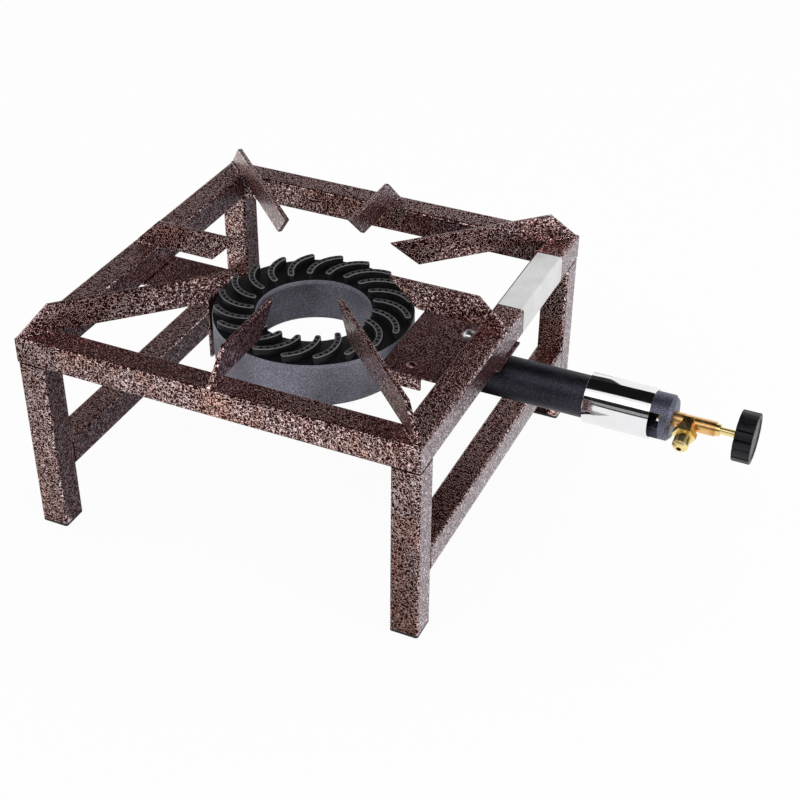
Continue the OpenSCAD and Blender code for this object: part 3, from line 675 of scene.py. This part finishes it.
@dataclass
class PotSupports:
    """Eight flat bars on edge, with sheared edges, and the weld stitches at their feet."""

    mid_x: float = RING_X
    half: float = 180 * MM
    top: float = 190 * MM
    height: float = 25 * MM
    thick: float = 4 * MM
    lean: float = 26 * MM
    corner_len: float = 154 * MM
    side_len: float = 80 * MM
    setback: float = 1.5 * MM
    edge: float = 0.45 * MM
    bead_r: float = 1.5 * MM
    bead_step: float = 1.9 * MM
    bead_sink: float = 0.3
    weld_start: float = 3 * MM
    weld_grain: float = 0.4 * MM
    corner_drops: int = 12
    side_drops: int = 9

    def build(self) -> None:
        """Builds the bars and their welds, corner bars first."""
        corner = self.setback + self.thick / 2 - self.half * math.sqrt(2)
        for turn, name in enumerate(("front_left", "front_right", "back_right", "back_left")):
            self.bar(name, self.corner_len, corner, 45 + 90 * turn)
            self.welds(name, corner + self.weld_start, self.corner_drops, 45 + 90 * turn)
        side = self.setback - self.half
        for turn, name in enumerate(("front", "right", "back", "left")):
            self.bar(name, self.side_len, side, 90 + 90 * turn)
            self.welds(name, side + self.weld_start, self.side_drops, 90 + 90 * turn)

    def bar(self, name: str, length: float, start: float, angle: float) -> None:
        """Builds one bar with both ends leaning inwards.

        Args:
            name: Side or corner that the bar stands on.
            length: Length of its foot.
            start: Place of its outer foot along its own line.
            angle: Angle of its line from +X, in degrees.
        """
        bar = Bench.block(f"{name}_bar", (length, self.thick, self.height),
                          (start + length / 2, 0, self.height / 2))
        bpy.ops.object.mode_set(mode="EDIT")
        Bench.pick(bar, Element.FACE, lambda _, normal: normal.z > 0.9)
        bpy.ops.transform.translate(value=(self.lean, 0, 0))
        bpy.ops.mesh.select_all(action="SELECT")
        bpy.ops.mesh.bevel(offset=self.edge, segments=2, affect="EDGES")
        self.stand(bar, angle)
        Bench.finish(bar, PAINT, Slot.PAINT, "stand", [f"{name}_support"], 20.0)

    def welds(self, name: str, start: float, count: int, angle: float) -> None:
        """Lays a weld stitch along both sides of a bar's foot.

        Args:
            name: Side or corner that the bar stands on.
            start: Place of the first drop along the bar's line.
            count: Number of drops.
            angle: Angle of the bar's line from +X, in degrees.
        """
        stitches = []
        for side in (-1, 1):
            Bench.clear()
            sunk = self.bead_sink * self.bead_r
            bpy.ops.mesh.primitive_uv_sphere_add(segments=14, ring_count=10, radius=self.bead_r,
                                                 location=(start, side * (self.thick / 2 + sunk), sunk))
            drop = Bench.named(f"{name}_drop")
            Bench.settle()
            Bench.apply(drop, "ARRAY", count=count, use_relative_offset=False, use_constant_offset=True,
                        constant_offset_displace=(self.bead_step, 0, 0))
            stitches.append(drop)
        weld = Bench.join(f"{name}_weld", stitches)
        Bench.apply(weld, "REMESH", mode="VOXEL", voxel_size=self.weld_grain)
        Bench.apply(weld, "SMOOTH", factor=0.5, iterations=2)
        self.stand(weld, angle)
        Bench.finish(weld, PAINT, Slot.PAINT, "stand")

    def stand(self, piece: Object, angle: float) -> None:
        """Turns a piece from its own line to its side or corner and stands it on the rails."""
        Bench.place(piece, Matrix.Rotation(math.radians(angle), 3, "Z"), (self.mid_x, 0, self.top))


@dataclass
class RibbedHead:
    """Ring of the burner head with its curved ribs and flame ports."""

    mid_x: float = RING_X
    ring_r: float = 88 * MM
    hole_r: float = 50.5 * MM
    seat: float = 159 * MM
    top: float = 163.2 * MM
    rim: float = 0.7 * MM
    rib_count: int = 20
    rib_w: float = 5.4 * MM
    rib_h: float = 6.6 * MM
    rib_turn: float = -5.4
    rib_sweep: float = 20.5
    rib_lean: float = 12.0
    rib_edge: float = 1.2 * MM
    rib_bevel: float = 0.5 * MM
    rib_root: float = 0.5 * MM
    wall: float = 4 * MM
    port_count: int = 7
    port_r: float = 1.4 * MM
    port_room: float = 1.25
    drill_len: float = 4.0
    drill_lift: float = 2.6
    ring_steps: int = 144
    arc_steps: int = 12
    end_steps: int = 8
    crest_wear: float = 0.36
    # pale edges are rubbed paint and a painted highlight; lighter rib sides are painted light
    edge_wear_and_highlight: float = 0.8
    side_painted_light: float = 0.22

    def build(self) -> None:
        """Builds the plate and the ribs and joins them."""
        plate = self.plate()
        first = self.rib()
        ribs = [first] + [Bench.copy(first, f"rib_{turn}") for turn in range(1, self.rib_count)]
        for turn, rib in enumerate(ribs):
            angle = math.radians(self.rib_turn + 360 * turn / self.rib_count)
            Bench.place(rib, Matrix.Rotation(angle, 3, "Z"), (self.mid_x, 0, 0))
        head = Bench.join("ribbed_head", [plate, *ribs])
        self.mark_wear_and_highlight(head)
        Bench.finish(head, HEAD, Slot.IRON, "stand", ["burner_head"])

    def plate(self) -> Object:
        """Turns the flat ring with its softened rims and returns it."""
        low, high, soft = self.seat, self.top, self.rim
        inner, outer = self.mid_x + self.hole_r, self.mid_x + self.ring_r
        plate = Bench.outline("head_plate", [
            (inner, 0, low), (outer, 0, low), (outer, 0, high - soft), (outer - soft / 2, 0, high - soft / 5),
            (outer - 1.4 * soft, 0, high), (inner + 1.4 * soft, 0, high),
            (inner + soft / 2, 0, high - soft / 5), (inner, 0, high - soft)])
        Bench.turn((self.mid_x, 0, 0), (0, 0, 1), self.ring_steps)
        return plate

    def path(self) -> tuple[Vector, float, float, float]:
        """Finds the arc that a rib follows.

        Returns:
            The arc's centre, its radius, and the angles at its inner and outer end in radians.
        """
        inner = self.hole_r + self.rib_edge + self.rib_w / 2
        outer = self.ring_r - self.rib_edge - self.rib_w / 2
        across = Vector((outer * math.cos(math.radians(self.rib_sweep)) - inner,
                         outer * math.sin(math.radians(self.rib_sweep))))
        half_turn = math.atan2(across.y, across.x) - math.radians(self.rib_lean)
        bend = across.length / (2 * math.sin(half_turn))
        start = math.radians(90 - self.rib_lean)
        centre = Vector((inner - bend * math.cos(start), -bend * math.sin(start)))
        return centre, bend, start, start - 2 * half_turn

    def rib(self) -> Object:
        """Models the rib that starts on the +X axis, with its ports, and returns it."""
        centre, bend, start, stop = self.path()
        half, floor = self.rib_w / 2, self.top - self.rib_root
        corners = []
        for radius, first, last in ((bend + half, start, stop), (bend - half, stop, start)):
            tip = centre + bend * Vector((math.cos(last), math.sin(last)))
            for step in range(self.arc_steps + 1):
                angle = first + (last - first) * step / self.arc_steps
                corners.append(centre + radius * Vector((math.cos(angle), math.sin(angle))))
            for step in range(1, self.end_steps):
                angle = last + (0 if radius > bend else math.pi) - math.pi * step / self.end_steps
                corners.append(tip + half * Vector((math.cos(angle), math.sin(angle))))
        rib = Bench.outline("rib_0", [(corner.x, corner.y, floor) for corner in corners])
        bpy.ops.mesh.edge_face_add()
        bpy.ops.mesh.extrude_region_move(
            TRANSFORM_OT_translate={"value": (0, 0, self.rib_h + self.top - floor)})
        bpy.ops.mesh.select_all(action="SELECT")
        bpy.ops.mesh.normals_make_consistent(inside=False)
        crest = self.top + self.rib_h
        Bench.pick(rib, Element.EDGE, lambda place, _: place.z > crest - TINY)
        bpy.ops.mesh.bevel(offset=self.rib_bevel, segments=2, affect="EDGES")
        Bench.clear()
        Bench.cut(rib, self.port_cutter(centre, bend, floor))
        return rib

    def port_cutter(self, centre: Vector, bend: float, floor: float) -> Object:
        """Adds the row of cylinders that cuts a rib's ports.

        Args:
            centre: Centre of the rib's arc.
            bend: Radius of the rib's arc.
            floor: Height of the rib's foot.

        Returns:
            The joined cutter.
        """
        room = self.wall + self.port_room * self.port_r
        ends = []
        for radius in (self.hole_r + room, self.ring_r - room):
            reach = (radius ** 2 - centre.length_squared - bend ** 2) / (2 * bend * centre.length)
            ends.append(math.atan2(centre.y, centre.x) + math.acos(reach))
        drills = []
        for port in range(self.port_count):
            angle = ends[0] + (ends[1] - ends[0]) * port / (self.port_count - 1)
            place = centre + bend * Vector((math.cos(angle), math.sin(angle)))
            Bench.clear()
            bpy.ops.mesh.primitive_cylinder_add(
                vertices=14, radius=self.port_r, depth=self.drill_len * self.rib_h,
                location=(place.x, place.y, floor + self.drill_lift * self.rib_h))
            drills.append(Bench.named(f"drill_{port}"))
            Bench.settle()
        return Bench.join("port_drills", drills)

    def mark_wear_and_highlight(self, head: Object) -> None:
        """Marks where the ribs' paint is rubbed, the pale edges that are also a painted highlight, the rib
        sides lightened as painted light, and the bare inner and outer side of the plate.
        """
        wear_and_highlight = head.data.attributes.new("wear_and_highlight", "FLOAT", "FACE")
        bare = head.data.attributes.new("bare", "FLOAT", "FACE")
        crest = self.top + self.rib_h - self.rib_bevel - TINY
        smallest = 2 * MM * MM
        for face, mark, side in zip(head.data.polygons, wear_and_highlight.data, bare.data):
            upright = abs(face.normal.z) < 0.15
            if face.center.z > crest and not upright:
                # crests are rubbed; the pale edges are rubbed paint and a painted highlight
                mark.value = self.crest_wear if face.normal.z > 0.96 else self.edge_wear_and_highlight
            reach = math.hypot(face.center.x - self.mid_x, face.center.y)
            within = self.hole_r + self.rim < reach < self.ring_r - self.rim
            # rib sides are lightened: painted light
            if upright and within and face.area > smallest:
                mark.value = self.side_painted_light
            side.value = float(face.normal.z < 0.6 and not within)


@dataclass
class AirSleeve:
    """Bright sleeve with rounded lips."""

    start: float = 147.1 * MM
    length: float = 55 * MM
    inner_r: float = 19.2 * MM
    outer_r: float = 21.2 * MM
    axis_z: float = TUBE_Z
    lip: float = 0.5 * MM
    steps: int = 160

    def build(self) -> None:
        """Turns the sleeve round the mixing tube's axis."""
        near, far, lip = self.start, self.start + self.length, self.lip
        low, high, bend = self.axis_z + self.inner_r, self.axis_z + self.outer_r, 0.3 * self.lip
        sleeve = Bench.outline("bright_sleeve", [
            (near + lip / 2, 0, low), (far - lip / 2, 0, low), (far, 0, low + lip / 2), (far, 0, high - lip),
            (far - bend, 0, high - bend), (far - lip, 0, high), (near + lip, 0, high),
            (near + bend, 0, high - bend), (near, 0, high - lip), (near, 0, low + lip / 2)])
        Bench.turn((0, 0, self.axis_z), (1, 0, 0), self.steps)
        Bench.clear()
        Bench.finish(sleeve, PLATING, Slot.PLATING, "air_sleeve", ["air_sleeve"])


@dataclass
class GripKnob:
    """Fluted knob with softened lands, a dished front and a hollow back."""

    back: float = 270.9 * MM
    thick: float = 14.6 * MM
    radius: float = 21 * MM
    axis_z: float = TUBE_Z
    grooves: int = 16
    groove_h: float = 1.1 * MM
    wall: float = 3.2 * MM
    hub_r: float = 7 * MM
    shaft_r: float = 3.05 * MM
    soft: float = 0.6 * MM
    web: float = 4 * MM
    dish: float = 0.8 * MM
    bore_len: float = 20 * MM
    over: float = 1 * MM
    per_groove: int = 8
    steps: int = 96

    def build(self) -> None:
        """Models the grip from a cylinder, then cuts its dish, its hollow and its bore."""
        Bench.clear()
        middle = (self.back + self.thick / 2, 0, self.axis_z)
        bpy.ops.mesh.primitive_cylinder_add(vertices=self.per_groove * self.grooves, radius=self.radius,
                                            depth=self.thick, location=middle, rotation=ALONG_X)
        rim = Bench.named("grip_knob")
        Bench.settle()
        bpy.ops.object.mode_set(mode="EDIT")
        self.flute(rim)
        self.soften(rim)
        Bench.clear()
        for cutter in self.cutters():
            Bench.cut(rim, cutter)
        Bench.finish(rim, KNOB, Slot.KNOB, "knob", ["knob"], 40.0)

    def flute(self, rim: Object) -> None:
        """Sinks the side's vertices along the middle of every groove."""
        step = 2 * math.pi / (self.per_groove * self.grooves)

        def middle(place: Vector, _: Vector) -> bool:
            """Whether a vertex lies on a groove's middle."""
            return round(math.atan2(place.y, place.z - self.axis_z) / step) % self.per_groove == 0

        Bench.pick(rim, Element.VERTEX, middle)
        share = 1 - self.groove_h / self.radius
        bpy.ops.transform.resize(value=(1, share, share), center_override=(0, 0, self.axis_z))

    def soften(self, rim: Object) -> None:
        """Rounds the front and back edges of the grip."""
        outer = self.radius - 1.6 * self.groove_h
        near, far = self.back, self.back + self.thick

        def edge(place: Vector, _: Vector) -> bool:
            """Whether an edge runs round the front or the back of the grip."""
            reach = math.hypot(place.y, place.z - self.axis_z)
            return reach > outer and (abs(place.x - near) < TINY or abs(place.x - far) < TINY)

        Bench.pick(rim, Element.EDGE, edge)
        bpy.ops.mesh.bevel(offset=self.soft, segments=3, affect="EDGES")

    def cutters(self) -> list[Object]:
        """Makes the cutters of the dished front, the hollow back and the bore, and returns them."""
        front, z = self.back + self.thick, self.axis_z
        inner, web, start = self.radius - self.wall, front - self.web, self.back - self.over
        Bench.clear()
        bpy.ops.mesh.primitive_cone_add(vertices=self.steps, radius1=inner - self.dish,
                                        radius2=inner + self.dish, depth=2 * self.dish,
                                        location=(front, 0, z), rotation=ALONG_X)
        dish = Bench.named("dish_cutter")
        Bench.settle()
        hollow = Bench.outline("hollow_cutter", [
            (start, 0, z + self.hub_r), (web, 0, z + self.hub_r), (web, 0, z + inner), (start, 0, z + inner)])
        Bench.turn((0, 0, z), (1, 0, 0), self.steps)
        Bench.clear()
        bpy.ops.mesh.primitive_cylinder_add(vertices=48, radius=self.shaft_r, depth=self.bore_len,
                                            location=(self.back, 0, z), rotation=ALONG_X)
        bore = Bench.named("bore_cutter")
        Bench.settle()
        return [dish, hollow, bore]


@dataclass(frozen=True)
class Lamp:
    """A soft rectangular light, with its power in watts and the point that it shines at."""

    name: str
    place: Point
    width: float
    height: float
    power: float
    target: Point

    def build(self) -> None:
        """Hangs the light."""
        Bench.clear()
        turn = (Vector(self.target) - Vector(self.place)).to_track_quat("-Z", "Y").to_euler()
        bpy.ops.object.light_add(type="AREA", location=self.place, rotation=turn)
        lamp = bpy.context.object
        lamp.name = self.name
        lamp.data.shape = "RECTANGLE"
        lamp.data.size = self.width
        lamp.data.size_y = self.height
        lamp.data.energy = self.power


@dataclass(frozen=True)
class Card:
    """A matt grey card that only reflections see, with its size before the turn and its turn in degrees."""

    name: str
    place: Point
    size: tuple[float, float]
    grey: float
    turn: Point = FLAT

    def build(self) -> None:
        """Sets up the card."""
        Bench.clear()
        bpy.ops.mesh.primitive_plane_add(size=1.0, location=self.place,
                                         rotation=[math.radians(angle) for angle in self.turn])
        card = Bench.named(self.name)
        card.scale = (*self.size, 1.0)
        Bench.settle()
        card.visible_camera = False
        card.visible_diffuse = False
        card.visible_shadow = False
        felt = bpy.data.materials.new(self.name)
        felt.use_nodes = True
        matt = felt.node_tree.nodes["Principled BSDF"]
        matt.inputs["Base Color"].default_value = (self.grey, self.grey, self.grey, 1.0)
        matt.inputs["Roughness"].default_value = 0.9
        matt.inputs["Specular IOR Level"].default_value = 0.0
        card.data.materials.append(felt)


LAMPS = (
    Lamp("key_light", (-0.25, -1.25, 1.42), 2.2, 0.34, 1.8, (-0.25, 0.0, 0.15)),
    Lamp("key_glow", (-0.25, -0.98, 1.63), 2.2, 0.34, 0.8, (-0.25, 0.0, 0.15)),
    Lamp("side_light", (1.9, -0.3, 0.9), 0.9, 0.9, 9.0, (0.0, 0.0, 0.15)),
)
CARDS = (
    Card("overhead_flag", (0.0, 0.58, 2.0), (4.0, 2.26), 0.01),
    Card("front_flag", (0.0, -2.3, 1.12), (5.0, 1.65), 0.02, UPRIGHT),
    Card("front_streak", (0.0, -2.2, 0.77), (5.0, 0.5), 0.40, UPRIGHT),
    Card("back_flag", (-1.15, 2.3, 1.8), (1.2, 1.7), 0.04, UPRIGHT),
    Card("left_back_flag", (-2.9, 2.3, 1.8), (2.3, 1.7), 0.28, UPRIGHT),
    Card("right_wall", (2.4, 0.0, 1.2), (2.4, 4.0), 0.50, SIDEWAYS),
    # cards lying on the floor: painted shade of the stool on the floor, seen only in reflections
    Card("under_shade_card", (-0.015, 0.0, 0.002), (0.16, 0.34), 0.03),
    Card("under_left_shade_card", (-0.185, 0.0, 0.002), (0.18, 0.34), 0.40),
    Card("left_leg_shade_card", (-0.34, -0.27, 0.002), (0.16, 0.18), 0.80),
    Card("right_leg_shade_card", (0.0, -0.27, 0.002), (0.16, 0.18), 0.45),
    Card("left_bar_shade_card", (-0.53, -0.33, 0.002), (0.22, 0.36), 0.30),
    Card("right_rail_shade_card", (0.175, 0.20, 0.002), (0.10, 0.16), 0.45),
    Card("behind_shade_card", (-0.145, 0.40, 0.002), (0.41, 0.46), 0.20),
)


@dataclass
class Studio:
    """Camera, white floor and surround, soft lights and the cards that reflections see."""

    camera_place: Point = (0.418664, -0.996822, 0.852303)
    camera_turn: Point = (55.0905, -0.5080, 24.2335)
    lens: float = 68.08
    sensor: float = 36.0
    floor_size: float = 12.0
    floor_grey: float = 0.88
    floor_glow: float = 0.94
    fill: float = 0.8

    def build(self) -> None:
        """Sets up the camera, floor, surround, lights and cards."""
        self.camera()
        self.floor()
        self.world()
        for item in (*LAMPS, *CARDS):
            item.build()

    def camera(self) -> None:
        """Adds the camera at the photographed angle."""
        Bench.clear()
        turn = Euler([math.radians(angle) for angle in self.camera_turn], "XYZ")
        bpy.ops.object.camera_add(location=self.camera_place, rotation=turn)
        camera = bpy.context.object
        camera.data.lens = self.lens
        camera.data.sensor_width = self.sensor
        camera.data.sensor_height = self.sensor
        camera.data.sensor_fit = "HORIZONTAL"
        camera.data.clip_start = 0.01
        bpy.context.scene.camera = camera

    def floor(self) -> None:
        """Adds the pale floor, which keeps a soft shadow of the object."""
        Bench.clear()
        bpy.ops.mesh.primitive_plane_add(size=self.floor_size, location=(0, 0, 0))
        floor = Bench.named("studio_floor")
        paper = bpy.data.materials.new("floor_paper")
        paper.use_nodes = True
        tree = paper.node_tree
        tree.nodes.clear()
        output = tree.nodes.new("ShaderNodeOutputMaterial")
        matt = tree.nodes.new("ShaderNodeBsdfDiffuse")
        matt.inputs["Color"].default_value = (self.floor_grey, self.floor_grey, self.floor_grey, 1.0)
        glow = tree.nodes.new("ShaderNodeEmission")
        glow.inputs["Color"].default_value = (*WHITE, 1.0)
        both = self.seen_white(tree, matt.outputs["BSDF"], glow.outputs["Emission"], self.floor_glow)
        tree.links.new(both, output.inputs["Surface"])
        floor.data.materials.append(paper)

    def world(self) -> None:
        """Gives a white surround to the camera and to reflections, and a softer fill to matt surfaces."""
        world = bpy.data.worlds.new("studio_surround")
        bpy.context.scene.world = world
        world.use_nodes = True
        tree = world.node_tree
        tree.nodes.clear()
        output = tree.nodes.new("ShaderNodeOutputWorld")
        lights = []
        for strength in (self.fill, 1.0):
            light = tree.nodes.new("ShaderNodeBackground")
            light.inputs["Color"].default_value = (*WHITE, 1.0)
            light.inputs["Strength"].default_value = strength
            lights.append(light.outputs["Background"])
        both = self.seen_white(tree, *lights, 1.0)
        tree.links.new(both, output.inputs["Surface"])

    def seen_white(self, tree: bpy.types.NodeTree, plain: NodeSocket, white: NodeSocket,
                   share: float) -> NodeSocket:
        """Shows white to rays of the camera, of reflections and through glass, and a plain shader to others.

        Args:
            tree: Node tree of the floor or the surround.
            plain: Shader that all other rays see.
            white: Shader that such rays see.
            share: Share of the white that they see.

        Returns:
            The mixed shader.
        """
        path = tree.nodes.new("ShaderNodeLightPath")
        seen = path.outputs["Is Camera Ray"]
        for ray in ("Is Glossy Ray", "Is Transmission Ray"):
            seen = self.reckon(tree, "MAXIMUM", seen, path.outputs[ray])
        both = tree.nodes.new("ShaderNodeMixShader")
        tree.links.new(self.reckon(tree, "MULTIPLY", seen, share), both.inputs["Fac"])
        tree.links.new(plain, both.inputs[1])
        tree.links.new(white, both.inputs[2])
        return both.outputs["Shader"]

    @staticmethod
    def reckon(tree: bpy.types.NodeTree, operation: str, first: NodeSocket,
               second: NodeSocket | float) -> NodeSocket:
        """Reckons with a value and a second value or a number."""
        node = tree.nodes.new("ShaderNodeMath")
        node.operation = operation
        tree.links.new(first, node.inputs[0])
        if isinstance(second, float):
            node.inputs[1].default_value = second
        else:
            tree.links.new(second, node.inputs[1])
        return node.outputs["Value"]


def main() -> None:
    """Dresses the frame, adds the softened pieces and sets up the studio."""
    logging.basicConfig(level=logging.INFO, format="%(message)s")
    bpy.context.scene.view_settings.view_transform = "Standard"
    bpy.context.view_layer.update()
    dress_nodes(frame["nodes"])
    for assembly in (PotSupports(), RibbedHead(), AirSleeve(), GripKnob(), Studio()):
        assembly.build()
        log.info("built %s", type(assembly).__name__)


if __name__ == "__main__":
    main()
